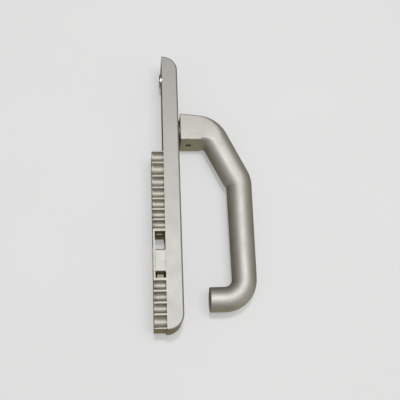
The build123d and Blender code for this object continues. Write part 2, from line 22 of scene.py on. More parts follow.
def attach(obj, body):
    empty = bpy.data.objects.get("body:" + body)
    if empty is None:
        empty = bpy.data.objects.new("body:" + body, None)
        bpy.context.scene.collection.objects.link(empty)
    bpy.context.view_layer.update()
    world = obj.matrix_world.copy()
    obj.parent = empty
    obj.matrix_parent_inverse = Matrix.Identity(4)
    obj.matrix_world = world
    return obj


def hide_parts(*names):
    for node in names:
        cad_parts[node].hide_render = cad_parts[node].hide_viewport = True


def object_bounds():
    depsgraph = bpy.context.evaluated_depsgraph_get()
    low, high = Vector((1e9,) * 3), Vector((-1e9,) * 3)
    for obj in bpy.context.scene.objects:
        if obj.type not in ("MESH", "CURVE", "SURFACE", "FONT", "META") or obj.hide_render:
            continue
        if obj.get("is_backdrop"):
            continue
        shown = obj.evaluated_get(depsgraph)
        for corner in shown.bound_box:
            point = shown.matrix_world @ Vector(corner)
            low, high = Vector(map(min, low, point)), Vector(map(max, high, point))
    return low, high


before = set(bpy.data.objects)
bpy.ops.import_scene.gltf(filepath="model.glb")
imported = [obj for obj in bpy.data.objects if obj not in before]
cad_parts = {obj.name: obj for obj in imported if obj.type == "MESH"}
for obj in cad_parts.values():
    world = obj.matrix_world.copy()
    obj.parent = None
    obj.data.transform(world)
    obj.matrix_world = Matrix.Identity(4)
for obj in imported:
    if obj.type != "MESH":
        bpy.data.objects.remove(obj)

log = logging.getLogger("drive_handle")

MM = 0.001
QUARTER_TURN = math.pi / 2
NOISE_MIDDLE = 0.5

# How far a cutting form stands out of what it cuts
OVERSHOOT = 1.0 * MM

Triple = tuple[float, float, float]
Colour = Triple
Span = tuple[float, float]
Level = Union["Channel", float]


class Body(Enum):
    """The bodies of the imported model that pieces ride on."""

    BASE = "base"
    LEVER = "lever"
    SLIDER = "slider"


class Slot(Enum):
    """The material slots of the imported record."""

    CAST_ALLOY = "cast_alloy"
    PLATED_STEEL = "plated_steel"
    BLACK_STEEL = "black_steel"
    ACETAL = "acetal"
    RUBBER = "rubber"
    BRASS = "brass"


class Element(Enum):
    """What is chosen in edit mode, named as in a mesh, with the select mode that it takes."""

    VERTS = "VERT"
    EDGES = "EDGE"
    FACES = "FACE"


class Carving(Enum):
    """How a tool's form changes a piece."""

    CUT_OUT = "DIFFERENCE"
    JOIN_ON = "UNION"
    KEEP_INSIDE = "INTERSECT"


class Channel:
    """One output of a shader node, on which Python's operators add Math nodes."""

    def __init__(self, bench: ShaderBench, socket: bpy.types.NodeSocket) -> None:
        """Wraps an output socket, with the bench that adds nodes to its tree."""
        self.bench = bench
        self.socket = socket

    def _maths(self, operation: str, first: Level, second: Level) -> Channel:
        """Adds a Math node for two values and gives its result."""
        return self.bench.value("ShaderNodeMath", {"operation": operation}, {0: first, 1: second})

    def __add__(self, other: Level) -> Channel:
        """Adds."""
        return self._maths("ADD", self, other)

    def __radd__(self, other: Level) -> Channel:
        """Adds, with the channel on the right."""
        return self._maths("ADD", other, self)

    def __sub__(self, other: Level) -> Channel:
        """Subtracts."""
        return self._maths("SUBTRACT", self, other)

    def __rsub__(self, other: Level) -> Channel:
        """Subtracts, with the channel on the right."""
        return self._maths("SUBTRACT", other, self)

    def __mul__(self, other: Level) -> Channel:
        """Multiplies."""
        return self._maths("MULTIPLY", self, other)

    def __rmul__(self, other: Level) -> Channel:
        """Multiplies, with the channel on the right."""
        return self._maths("MULTIPLY", other, self)

    def __abs__(self) -> Channel:
        """Takes the sign off."""
        return self._maths("ABSOLUTE", self, 0.0)

    def rise(self, low: float, high: float) -> Channel:
        """Rises smoothly from 0 to 1 as the channel goes from low to high.

        Args:
            low: The value where it starts to rise.
            high: The value where it is 1.

        Returns:
            The smooth step.
        """
        settings = {"interpolation_type": "SMOOTHSTEP"}
        inputs = {"Value": self, "From Min": low, "From Max": high}
        return self.bench.value("ShaderNodeMapRange", settings, inputs, "Result")


class ShaderBench:
    """Adds nodes to one shader tree."""

    BEVEL_SAMPLES = 4
    EDGE_SPAN = (0.01, 0.16)

    def __init__(self, tree: bpy.types.NodeTree) -> None:
        """Empties the tree of a material or of the world, to start anew."""
        self.tree = tree
        tree.nodes.clear()

    def node(
        self,
        kind: str,
        settings: Mapping[str, object] | None = None,
        inputs: Mapping[str | int, object] | None = None,
    ) -> bpy.types.Node:
        """Adds a node, sets it and fills its inputs.

        Args:
            kind: The node's type.
            settings: Its settings.
            inputs: A value or a channel for each input, by name or number.

        Returns:
            The new node.
        """
        node = self.tree.nodes.new(kind)
        for name, value in (settings or {}).items():
            setattr(node, name, value)
        for name, value in (inputs or {}).items():
            socket = node.inputs[name]
            if isinstance(value, Channel):
                self.tree.links.new(value.socket, socket)
            elif socket.type == "RGBA":
                socket.default_value = (*value, 1.0)
            else:
                socket.default_value = value
        return node

    def value(
        self,
        kind: str,
        settings: Mapping[str, object] | None = None,
        inputs: Mapping[str | int, object] | None = None,
        output: str | int = 0,
    ) -> Channel:
        """Adds a node in the same way and gives one of its outputs, by name or number."""
        return Channel(self, self.node(kind, settings, inputs).outputs[output])

    def place(self) -> Channel:
        """Gives the place on the piece, in the object's own metres."""
        return self.value("ShaderNodeTexCoord", output="Object")

    def axes(self, vector: Channel) -> tuple[Channel, Channel, Channel]:
        """Splits a vector into its X, Y and Z."""
        node = self.node("ShaderNodeSeparateXYZ", inputs={0: vector})
        return tuple(Channel(self, output) for output in node.outputs)

    def stretched(self, vector: Channel, scale: Triple) -> Channel:
        """Scales a vector by a factor for each axis."""
        return self.value("ShaderNodeMapping", inputs={"Vector": vector, "Scale": scale})

    def noise(self, vector: Channel, size: float, detail: float = 2.0) -> Channel:
        """Adds soft noise between 0 and 1, with spots of a size and a number of finer layers."""
        inputs = {"Vector": vector, "Scale": 1 / size, "Detail": detail}
        return self.value("ShaderNodeTexNoise", inputs=inputs, output="Fac")

    def edges(self, reach: float) -> Channel:
        """Finds the edges, from how far a rounded surface would turn away from the real one.

        Args:
            reach: How far from an edge it is still felt.

        Returns:
            1 on a sharp edge and 0 on a flat face.
        """
        rounded = self.value("ShaderNodeBevel", {"samples": self.BEVEL_SAMPLES}, {"Radius": reach})
        straight = self.value("ShaderNodeNewGeometry", output="Normal")
        normals = {0: rounded, 1: straight}
        alike = self.value("ShaderNodeVectorMath", {"operation": "DOT_PRODUCT"}, normals, "Value")
        return (1.0 - alike).rise(*self.EDGE_SPAN)

    def mixed(self, share: Level, first: Channel | Colour, second: Channel | Colour) -> Channel:
        """Mixes two colours, with a share of the second one."""
        return self.value("ShaderNodeMix", {"data_type": "RGBA"}, {0: share, 6: first, 7: second}, 2)

    def bump(self, height: Channel, depth: float) -> Channel:
        """Turns a height between 0 and 1 into a normal, where 1 stands out by the depth."""
        return self.value("ShaderNodeBump", inputs={"Height": height, "Distance": depth})


def scaled(colour: Colour, factor: float) -> Colour:
    """Makes a colour lighter or darker, with no part above 1."""
    return tuple(min(1.0, part * factor) for part in colour)


@dataclass(frozen=True)
class Finish:
    """A surface finish: how its colour, gloss and grain vary.

    Attributes:
        name: The material's name.
        slot: The record's slot, which is not used.
        colour: Its middle colour.
        metallic: 1 for bare metal, 0 for plastic and rubber.
        roughness: Its middle roughness.
        cloud_size: Size of the slow patches of tone.
        cloud_share: How far the patches change the colour.
        grain_size: Size of the fine grain.
        grain_depth: Height of the fine grain.
        edge_tint: Tint of the metal's reflection at a glancing angle.
        stain: Colour of the faint dull marks.
        stain_share: How strong the dull marks are.
        worn_and_highlit_reach: How far from an edge the worn metal and the painted edge highlight reach.
        worn_and_highlit_gain: How much lighter an edge is painted, for worn metal and a painted highlight.
        marks_in_cloud: How many dull marks go across a patch of tone.
        mark_span: The levels of noise between which a dull mark sets in.
        rubs_in_cloud: How many worn, lighter stretches of an edge go across a patch of tone.
        rub_span: The levels of noise between which an edge starts to be worn and painted lighter.
        grain_roughness: How far the grain changes the roughness.
        cloud_roughness: How far the patches of tone change it.
        mark_roughness: How much a dull mark adds to it.
        rub_roughness: How much a worn edge takes from it.
    """

    name: str
    slot: Slot
    colour: Colour
    metallic: float = 1.0
    roughness: float = 0.5
    cloud_size: float = 14 * MM
    cloud_share: float = 0.05
    grain_size: float = 0.35 * MM
    grain_depth: float = 0.006 * MM
    edge_tint: Colour = (1.0, 1.0, 1.0)
    stain: Colour = (0.30, 0.28, 0.22)
    stain_share: float = 0.15
    worn_and_highlit_reach: float = 0.45 * MM
    worn_and_highlit_gain: float = 0.30
    marks_in_cloud: int = 5
    mark_span: Span = (0.62, 0.72)
    rubs_in_cloud: int = 3
    rub_span: Span = (0.25, 0.60)
    grain_roughness: float = 0.10
    cloud_roughness: float = 0.12
    mark_roughness: float = 0.4
    rub_roughness: float = 0.08

    @cache
    def material(self) -> bpy.types.Material:
        """Builds the finish's shader, the first time that it is asked for.

        Returns:
            The material.
        """
        material = bpy.data.materials.new(self.name)
        material.use_nodes = True
        bench = ShaderBench(material.node_tree)
        place = bench.place()
        clouds = bench.noise(place, self.cloud_size, detail=3.0)
        grain = bench.noise(self.grain_place(bench, place), self.grain_size)
        spots = bench.noise(place, self.cloud_size / self.marks_in_cloud, detail=5.0)
        marks = spots.rise(*self.mark_span) * self.stain_share
        stretches = bench.noise(place, self.cloud_size / self.rubs_in_cloud, detail=3.0)
        worn_and_highlit_edges = bench.edges(self.worn_and_highlit_reach) * stretches.rise(*self.rub_span)
        dark = scaled(self.colour, 1 - self.cloud_share)
        light = scaled(self.colour, 1 + self.cloud_share)
        # Edges are painted lighter: worn metal, together with a painted highlight along the edges.
        worn_and_highlit_colour = scaled(self.colour, 1 + self.worn_and_highlit_gain)
        colour = bench.mixed(marks, bench.mixed(clouds, dark, light), self.stain)
        colour = bench.mixed(worn_and_highlit_edges, colour, worn_and_highlit_colour)
        roughness = (grain - NOISE_MIDDLE) * self.grain_roughness
        roughness = roughness + (clouds - NOISE_MIDDLE) * self.cloud_roughness
        roughness = roughness + marks * self.mark_roughness - worn_and_highlit_edges * self.rub_roughness + self.roughness
        inputs = {
            "Base Color": colour,
            "Metallic": self.metallic,
            "Roughness": roughness,
            "Specular Tint": self.edge_tint,
            "Normal": bench.bump(grain, self.grain_depth),
        }
        shader = bench.value("ShaderNodeBsdfPrincipled", inputs=inputs)
        bench.node("ShaderNodeOutputMaterial", inputs={"Surface": shader})
        return material

    def grain_place(self, bench: ShaderBench, place: Channel) -> Channel:
        """Gives the place itself, because the plain grain runs no way in particular."""
        return place


@dataclass(frozen=True)
class BrushedFinish(Finish):
    """A finish whose grain runs along one axis.

    Attributes:
        along: How far the grain is drawn out along X, Y and Z.
    """

    along: Triple = (1.0, 1.0, 12.0)

    def grain_place(self, bench: ShaderBench, place: Channel) -> Channel:
        """Gives the place pressed together along the grain, which draws the grain out."""
        return bench.stretched(place, tuple(1 / length for length in self.along))


# The warm olive that satin metal shows at a glancing angle
GLANCE = (0.40, 0.34, 0.10)

LEVER_ALLOY = BrushedFinish(
    name="satin_lever_alloy",
    slot=Slot.CAST_ALLOY,
    colour=(0.50, 0.49, 0.465),
    roughness=0.62,
    cloud_share=0.04,
    grain_size=0.5 * MM,
    edge_tint=GLANCE,
    worn_and_highlit_gain=0.12,
    along=(1.0, 1.0, 6.0),
)
PLATE_ALLOY = Finish(
    name="satin_plate_alloy",
    slot=Slot.CAST_ALLOY,
    colour=(0.40, 0.392, 0.375),
    roughness=0.60,
    edge_tint=GLANCE,
)
HOUSING_ALLOY = Finish(
    name="cast_housing_alloy",
    slot=Slot.CAST_ALLOY,
    colour=(0.405, 0.39, 0.35),
    roughness=0.60,
    cloud_size=6 * MM,
    cloud_share=0.10,
    grain_size=0.6 * MM,
    grain_depth=0.02 * MM,
    edge_tint=GLANCE,
    stain_share=0.3,
)
PLATED_STEEL = Finish(
    name="plated_steel",
    slot=Slot.PLATED_STEEL,
    colour=(0.60, 0.60, 0.59),
    roughness=0.32,
    cloud_size=5 * MM,
    stain_share=0.2,
)
BLACK_STEEL = Finish(
    name="black_steel",
    slot=Slot.BLACK_STEEL,
    colour=(0.12, 0.115, 0.105),
    roughness=0.42,
    cloud_size=4 * MM,
    cloud_share=0.2,
    stain=(0.14, 0.12, 0.10),
    stain_share=0.4,
)
# Light olive in place of the grub screw's black steel: painted light that brightens the dark hole that it
# sits in.
GRUB_STEEL_PAINTED_LIGHT = Finish(
    name="grub_steel_painted_light",
    slot=Slot.BLACK_STEEL,
    colour=(0.46, 0.42, 0.30),
    roughness=0.50,
    cloud_size=3 * MM,
    cloud_share=0.1,
    edge_tint=GLANCE,
)
CARRIAGE_ALLOY = Finish(
    name="smooth_carriage_alloy",
    slot=Slot.CAST_ALLOY,
    colour=(0.40, 0.392, 0.38),
    roughness=0.58,
    cloud_size=8 * MM,
    edge_tint=GLANCE,
)
ACETAL = Finish(
    name="white_acetal",
    slot=Slot.ACETAL,
    colour=(0.72, 0.71, 0.66),
    metallic=0.0,
    roughness=0.42,
    cloud_size=8 * MM,
    stain=(0.5, 0.45, 0.34),
)
RUBBER = Finish(
    name="tan_rubber",
    slot=Slot.RUBBER,
    colour=(0.40, 0.365, 0.28),
    metallic=0.0,
    roughness=0.75,
    cloud_share=0.1,
    stain=(0.20, 0.18, 0.13),
)
# Brass darkened far below its own colour: painted shade for the collar, which sits in the narrow gap between
# the plate and the neck.
BRASS = Finish(
    name="brass_darkened_as_painted_shade",
    slot=Slot.BRASS,
    colour=(0.16, 0.135, 0.085),
    roughness=0.58,
    cloud_size=5 * MM,
    stain=(0.22, 0.14, 0.07),
    stain_share=0.3,
)

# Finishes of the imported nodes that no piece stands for
NODE_FINISHES = {
    "thrust_washer": PLATED_STEEL,
    "retaining_ring": PLATED_STEEL,
    "pinion": BLACK_STEEL,
    "spring_washer": BLACK_STEEL,
    "rack_bar": BLACK_STEEL,
    "spindle_grub_screw": GRUB_STEEL_PAINTED_LIGHT,
}


def dress_node(name: str, finish: Finish) -> None:
    """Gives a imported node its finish.

    Args:
        name: The node's name.
        finish: Its finish.
    """
    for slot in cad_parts[name].material_slots:
        slot.material = finish.material()
    log.info("%s is dressed in %s", name, finish.name)


class Workbench:
    """Edit-mode tools that choose edges and faces by their place, with angles in degrees."""

    MERGE_WITHIN = 0.002 * MM
    FLAT_WITHIN = 0.6
    SHARP_FROM = 35.0
    LARGE_FACE_WEIGHT = 100

    @staticmethod
    def pick(*pieces: bpy.types.Object) -> None:
        """Selects some pieces and nothing else.

        Args:
            pieces: The pieces, of which the first becomes the active one. Without any, all are deselected.
        """
        for other in bpy.context.selected_objects:
            other.select_set(False)
        for piece in pieces:
            piece.select_set(True)
        if pieces:
            bpy.context.view_layer.objects.active = pieces[0]

    @classmethod
    def start(cls, name: str, add: Callable[..., set], **settings: object) -> bpy.types.Object:
        """Adds a primitive as a new piece and opens it in edit mode.

        Args:
            name: The piece's name.
            add: The operator that adds the primitive.
            settings: The operator's settings.

        Returns:
            The new object.
        """
        cls.pick()
        add(**settings)
        piece = bpy.context.active_object
        piece.name = name
        piece.data.name = name
        bpy.ops.object.transform_apply(location=True, rotation=True, scale=True)
        bpy.ops.object.mode_set(mode="EDIT")
        return piece

    @classmethod
    def open(cls, piece: bpy.types.Object) -> None:
        """Opens a piece in edit mode, with nothing else selected."""
        cls.pick(piece)
        bpy.ops.object.mode_set(mode="EDIT")

    @staticmethod
    def leave() -> None:
        """Closes edit mode."""
        bpy.ops.object.mode_set(mode="OBJECT")

    @classmethod
    def copy_of(cls, node: str, name: str) -> bpy.types.Object:
        """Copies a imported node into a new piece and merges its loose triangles.

        Args:
            node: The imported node.
            name: The new piece's name.

        Returns:
            The new piece, closed and with its flat faces whole.
        """
        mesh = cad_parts[node].data.copy()
        mesh.name = name
        piece = bpy.data.objects.new(name, mesh)
        bpy.context.scene.collection.objects.link(piece)
        cls.open(piece)
        bpy.ops.mesh.customdata_custom_splitnormals_clear()
        bpy.ops.mesh.select_all(action="SELECT")
        bpy.ops.mesh.remove_doubles(threshold=cls.MERGE_WITHIN)
        bpy.ops.mesh.dissolve_limited(angle_limit=math.radians(cls.FLAT_WITHIN))
        cls.leave()
        return piece

    @staticmethod
    def choose(piece: bpy.types.Object, kind: Element, test: Callable[[object], bool]) -> None:
        """Selects what passes a test, and nothing else, in edit mode.

        Args:
            piece: The piece that is open in edit mode.
            kind: What the choice is made among.
            test: Says whether one of them is chosen.
        """
        bpy.ops.mesh.select_all(action="DESELECT")
        bpy.ops.mesh.select_mode(type=kind.value)
        mesh = bmesh.from_edit_mesh(piece.data)
        for element in getattr(mesh, kind.name.lower()):
            if test(element):
                element.select_set(True)
        mesh.select_flush_mode()
        bmesh.update_edit_mesh(piece.data)

    @classmethod
    def face_outwards(cls) -> None:
        """Turns all faces of the piece that is open in edit mode outwards, and closes edit mode."""
        bpy.ops.mesh.select_all(action="SELECT")
        bpy.ops.mesh.normals_make_consistent(inside=False)
        cls.leave()

    @staticmethod
    def apply(piece: bpy.types.Object, kind: str, **settings: object) -> None:
        """Adds a modifier and applies it.

        Args:
            piece: The piece.
            kind: The modifier's type.
            settings: Its settings.
        """
        modifier = piece.modifiers.new(kind.lower(), kind)
        for name, value in settings.items():
            setattr(modifier, name, value)
        with bpy.context.temp_override(object=piece, active_object=piece, selected_objects=[piece]):
            bpy.ops.object.modifier_apply(modifier=modifier.name)

    @classmethod
    def carve(cls, piece: bpy.types.Object, tool: bpy.types.Object, how: Carving = Carving.CUT_OUT) -> None:
        """Changes a piece by a closed tool's form, and removes the tool."""
        cls.apply(piece, "BOOLEAN", operation=how.value, object=tool, solver="EXACT")
        bpy.data.objects.remove(tool)

    @classmethod
    def smooth(cls, piece: bpy.types.Object, degrees: float) -> None:
        """Shades a piece smooth, apart from its sharp edges, and keeps its large flat faces even.

        Args:
            piece: The piece.
            degrees: The angle from which an edge stays sharp.
        """
        cls.pick(piece)
        bpy.ops.object.shade_smooth_by_angle(angle=math.radians(degrees))
        cls.apply(piece, "WEIGHTED_NORMAL", keep_sharp=True, weight=cls.LARGE_FACE_WEIGHT)

    @classmethod
    def round_edges(cls, piece: bpy.types.Object, rim: float, faces: int, degrees: float) -> None:
        """Rounds a piece's sharp edges where there is room, and shades it smooth.

        Args:
            piece: The piece.
            rim: The radius of the edges.
            faces: How many faces go round an edge.
            degrees: The angle from which an edge is rounded.
        """
        cls.apply(
            piece,
            "BEVEL",
            width=rim,
            segments=faces,
            limit_method="ANGLE",
            angle_limit=math.radians(degrees),
            use_clamp_overlap=True,
        )
        cls.smooth(piece, cls.SHARP_FROM)


class Turning:
    """A round piece on an axis along X, drawn out step by step in edit mode."""

    POINTS = 64

    def __init__(self, name: str, centre: Vector, radius: float) -> None:
        """Starts with a closed disc.

        Args:
            name: The piece's name.
            centre: The disc's centre.
            radius: Its radius.
        """
        self.piece = Workbench.start(
            name,
            bpy.ops.mesh.primitive_circle_add,
            vertices=self.POINTS,
            radius=radius,
            fill_type="NGON",
            location=centre,
            rotation=(0.0, QUARTER_TURN, 0.0),
        )
        self.centre = centre.copy()
        self.radius = radius

    def to(self, place: float, radius: float | None = None) -> Turning:
        """Draws the end face on.

        Args:
            place: Its new place along X.
            radius: Its new radius, if it changes.

        Returns:
            The turning itself, for the next step.
        """
        bpy.ops.mesh.extrude_region_move()
        bpy.ops.transform.translate(value=(place - self.centre.x, 0.0, 0.0))
        self.centre.x = place
        if radius is not None:
            growth = radius / self.radius
            bpy.ops.transform.resize(value=(1.0, growth, growth), center_override=self.centre)
            self.radius = radius
        return self

    def done(self) -> bpy.types.Object:
        """Gives the finished piece, its faces turned outwards and edit mode closed."""
        Workbench.face_outwards()
        return self.piece


@dataclass(frozen=True)
class Section:
    """A cross-section of the lever, a rectangle with round corners.

    Attributes:
        width: Its size along Y.
        depth: Its size in the plane that the lever bends in.
        corner: The radius of its corners. At half the width and depth it is a circle.
    """

    width: float
    depth: float
    corner: float

    @classmethod
    def circle(cls, radius: float) -> Section:
        """Gives a round section."""
        return cls(2 * radius, 2 * radius, radius)

    def corner_centre(self, hand_across: int, hand_up: int) -> Span:
        """Gives how far a corner's arc centre is from the middle, along Y and in the bending plane."""
        across = hand_across * (self.width / 2 - self.corner)
        return across, hand_up * (self.depth / 2 - self.corner)

    def toward(self, other: Section, share: float) -> Section:
        """Gives the section that lies a share of the way to another one."""
        return Section(
            self.width + share * (other.width - self.width),
            self.depth + share * (other.depth - self.depth),
            self.corner + share * (other.corner - self.corner),
        )


class DrawnRing:
    """The open end of a hollow bar that is drawn out and bent in the XZ plane, in edit mode."""

    POINTS = 32
    RIM_FACES = 3

    # How many of the bar's widths the points of one end lie apart at most
    END_SPREAD = 1.6

    def __init__(self, name: str, centre: Vector, radius: float, heading: Vector) -> None:
        """Starts with a circle across the heading.

        Args:
            name: The piece's name.
            centre: The circle's centre.
            radius: Its radius.
            heading: The way that the bar is drawn out.
        """
        tilt = math.atan2(heading.x, heading.z)
        self.piece = Workbench.start(
            name,
            bpy.ops.mesh.primitive_circle_add,
            vertices=self.POINTS,
            radius=radius,
            location=centre,
            rotation=(0.0, tilt, 0.0),
        )
        self.centre = centre.copy()
        self.heading = heading.normalized()
        self.section = Section.circle(radius)
        self._roll_half_a_step()
        self.ring = set(range(self.POINTS))

    def _roll_half_a_step(self) -> None:
        """Turns the circle in its plane, so that each corner holds the same points."""
        half_step = math.pi / self.POINTS
        mesh = bmesh.from_edit_mesh(self.piece.data)
        turn = Matrix.Rotation(half_step, 3, self.heading)
        for vertex in mesh.verts:
            vertex.co = self.centre + turn @ (vertex.co - self.centre)
        bmesh.update_edit_mesh(self.piece.data)

    @property
    def up(self) -> Vector:
        """The ring's direction in the bending plane."""
        return self.heading.cross(Vector((0.0, 1.0, 0.0)))

    def _choose_ring(self) -> None:
        """Selects the ring's points."""
        Workbench.choose(self.piece, Element.VERTS, lambda vertex: vertex.index in self.ring)

    def _extrude(self) -> None:
        """Draws out a new ring on top of the old one."""
        self._choose_ring()
        bpy.ops.mesh.extrude_region_move()
        mesh = bmesh.from_edit_mesh(self.piece.data)
        self.ring = {vertex.index for vertex in mesh.verts if vertex.select}

    def forward(self, length: float, steps: int, section: Section | None = None) -> None:
        """Draws the bar straight on.

        Args:
            length: How far.
            steps: How many rings it adds.
            section: The section at the end, if it changes.
        """
        start = self.section
        for step in range(steps):
            self._extrude()
            move = self.heading * (length / steps)
            bpy.ops.transform.translate(value=move)
            self.centre += move
            if section:
                self.reshape(start.toward(section, (step + 1) / steps))

    def bend(self, radius: float, degrees: float, steps: int, section: Section | None = None) -> None:
        """Draws the bar round a bend.

        Args:
            radius: The bend's radius at the middle of the bar.
            degrees: How far it turns, with a plus sign towards the ring's up side.
            steps: How many rings it adds.
            section: The section at the end, if it changes.
        """
        start = self.section
        pivot = self.centre + self.up * math.copysign(radius, degrees)
        angle = -math.radians(degrees) / steps
        turn = Matrix.Rotation(angle, 3, "Y")
        for step in range(steps):
            self._extrude()
            bpy.ops.transform.rotate(value=-angle, orient_axis="Y", center_override=pivot)
            self.centre = pivot + turn @ (self.centre - pivot)
            self.heading = turn @ self.heading
            if section:
                self.reshape(start.toward(section, (step + 1) / steps))

    def reshape(self, section: Section) -> None:
        """Moves and scales the ring's four corners to a new section.

        Args:
            section: The new section.
        """
        growth = section.corner / self.section.corner
        for hand_across in (-1, 1):
            for hand_up in (-1, 1):
                Workbench.choose(self.piece, Element.VERTS, self._corner_test(hand_across, hand_up))
                old = self._in_space(self.section.corner_centre(hand_across, hand_up))
                new = self._in_space(section.corner_centre(hand_across, hand_up))
                bpy.ops.transform.resize(value=(growth, growth, growth), center_override=old)
                bpy.ops.transform.translate(value=new - old)
        self.section = section

    def _in_space(self, place: Span) -> Vector:
        """Gives the point of a place on the section, which is given along Y and in the bending plane."""
        return self.centre + Vector((0.0, place[0], 0.0)) + self.up * place[1]

    def _corner_test(self, hand_across: int, hand_up: int) -> Callable[[object], bool]:
        """Makes a test for the ring's points in one corner.

        Args:
            hand_across: The corner's side along Y.
            hand_up: Its side in the bending plane.

        Returns:
            A test that takes a vertex.
        """
        up = self.up
        centre = self.centre
        ring = self.ring

        def in_corner(vertex: bmesh.types.BMVert) -> bool:
            """Says whether a vertex lies in the corner."""
            offset = vertex.co - centre
            return vertex.index in ring and offset.y * hand_across > 0 and offset.dot(up) * hand_up > 0

        return in_corner

    def turn(self, degrees: float) -> None:
        """Turns the ring about its own centre, so that the bar ends on a slant.

        Args:
            degrees: How far, with a plus sign towards the ring's up side.
        """
        self._choose_ring()
        angle = math.radians(degrees)
        bpy.ops.transform.rotate(value=angle, orient_axis="Y", center_override=self.centre)
        self.heading = Matrix.Rotation(-angle, 3, "Y") @ self.heading

    def close(self, rim: float) -> None:
        """Smooths the open bar, then closes both ends flat, each with a narrow round rim.

        Args:
            rim: The radius of the rims.
        """
        Workbench.leave()
        Workbench.apply(self.piece, "SUBSURF", levels=1, render_levels=1)
        Workbench.open(self.piece)
        mesh = bmesh.from_edit_mesh(self.piece.data)
        first = next(edge.verts[0].co.copy() for edge in mesh.edges if edge.is_boundary)
        reach = self.END_SPREAD * max(self.section.width, self.section.depth)
        self._close_end(lambda point: (point - first).length < reach, rim)
        self._close_end(lambda point: (point - first).length >= reach, rim)
        Workbench.face_outwards()

    def _close_end(self, is_here: Callable[[Vector], bool], rim: float) -> None:
        """Closes one open end with a flat face and a narrow round rim.

        Args:
            is_here: Says whether a point lies near that end.
            rim: The radius of the rim.
        """

        def is_open(edge: bmesh.types.BMEdge) -> bool:
            """Says whether an edge bounds the open end."""
            return edge.is_boundary and is_here(edge.verts[0].co)

        def is_cap(face: bmesh.types.BMFace) -> bool:
            """Says whether a face is the one that closes the end."""
            return len(face.verts) > self.POINTS and is_here(face.verts[0].co)

        Workbench.choose(self.piece, Element.EDGES, is_open)
        bpy.ops.mesh.edge_face_add()
        bpy.ops.mesh.bevel(offset=rim, segments=self.RIM_FACES, affect="EDGES")
        Workbench.choose(self.piece, Element.FACES, is_cap)
        bpy.ops.mesh.inset(thickness=rim / 2)


@dataclass
class Piece:
    """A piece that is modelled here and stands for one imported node.

    Attributes:
        node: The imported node.
        finish: The piece's finish.
        body: The body that carries it.
    """

    node: str
    finish: Finish
    body: Body

    def build(self) -> bpy.types.Object:
        """Models the piece, which each kind of piece does in its own way."""
        raise NotImplementedError

    def dress(self, piece: bpy.types.Object) -> None:
        """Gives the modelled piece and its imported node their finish, and lets the piece ride in its place.

        Args:
            piece: The modelled piece.
        """
        dress_node(self.node, self.finish)
        piece.data.materials.clear()
        piece.data.materials.append(self.finish.material())
        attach(piece, self.body.value)
        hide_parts(self.node)
        log.info("%s has %d faces and rides on %s", piece.name, len(piece.data.polygons), self.body.value)


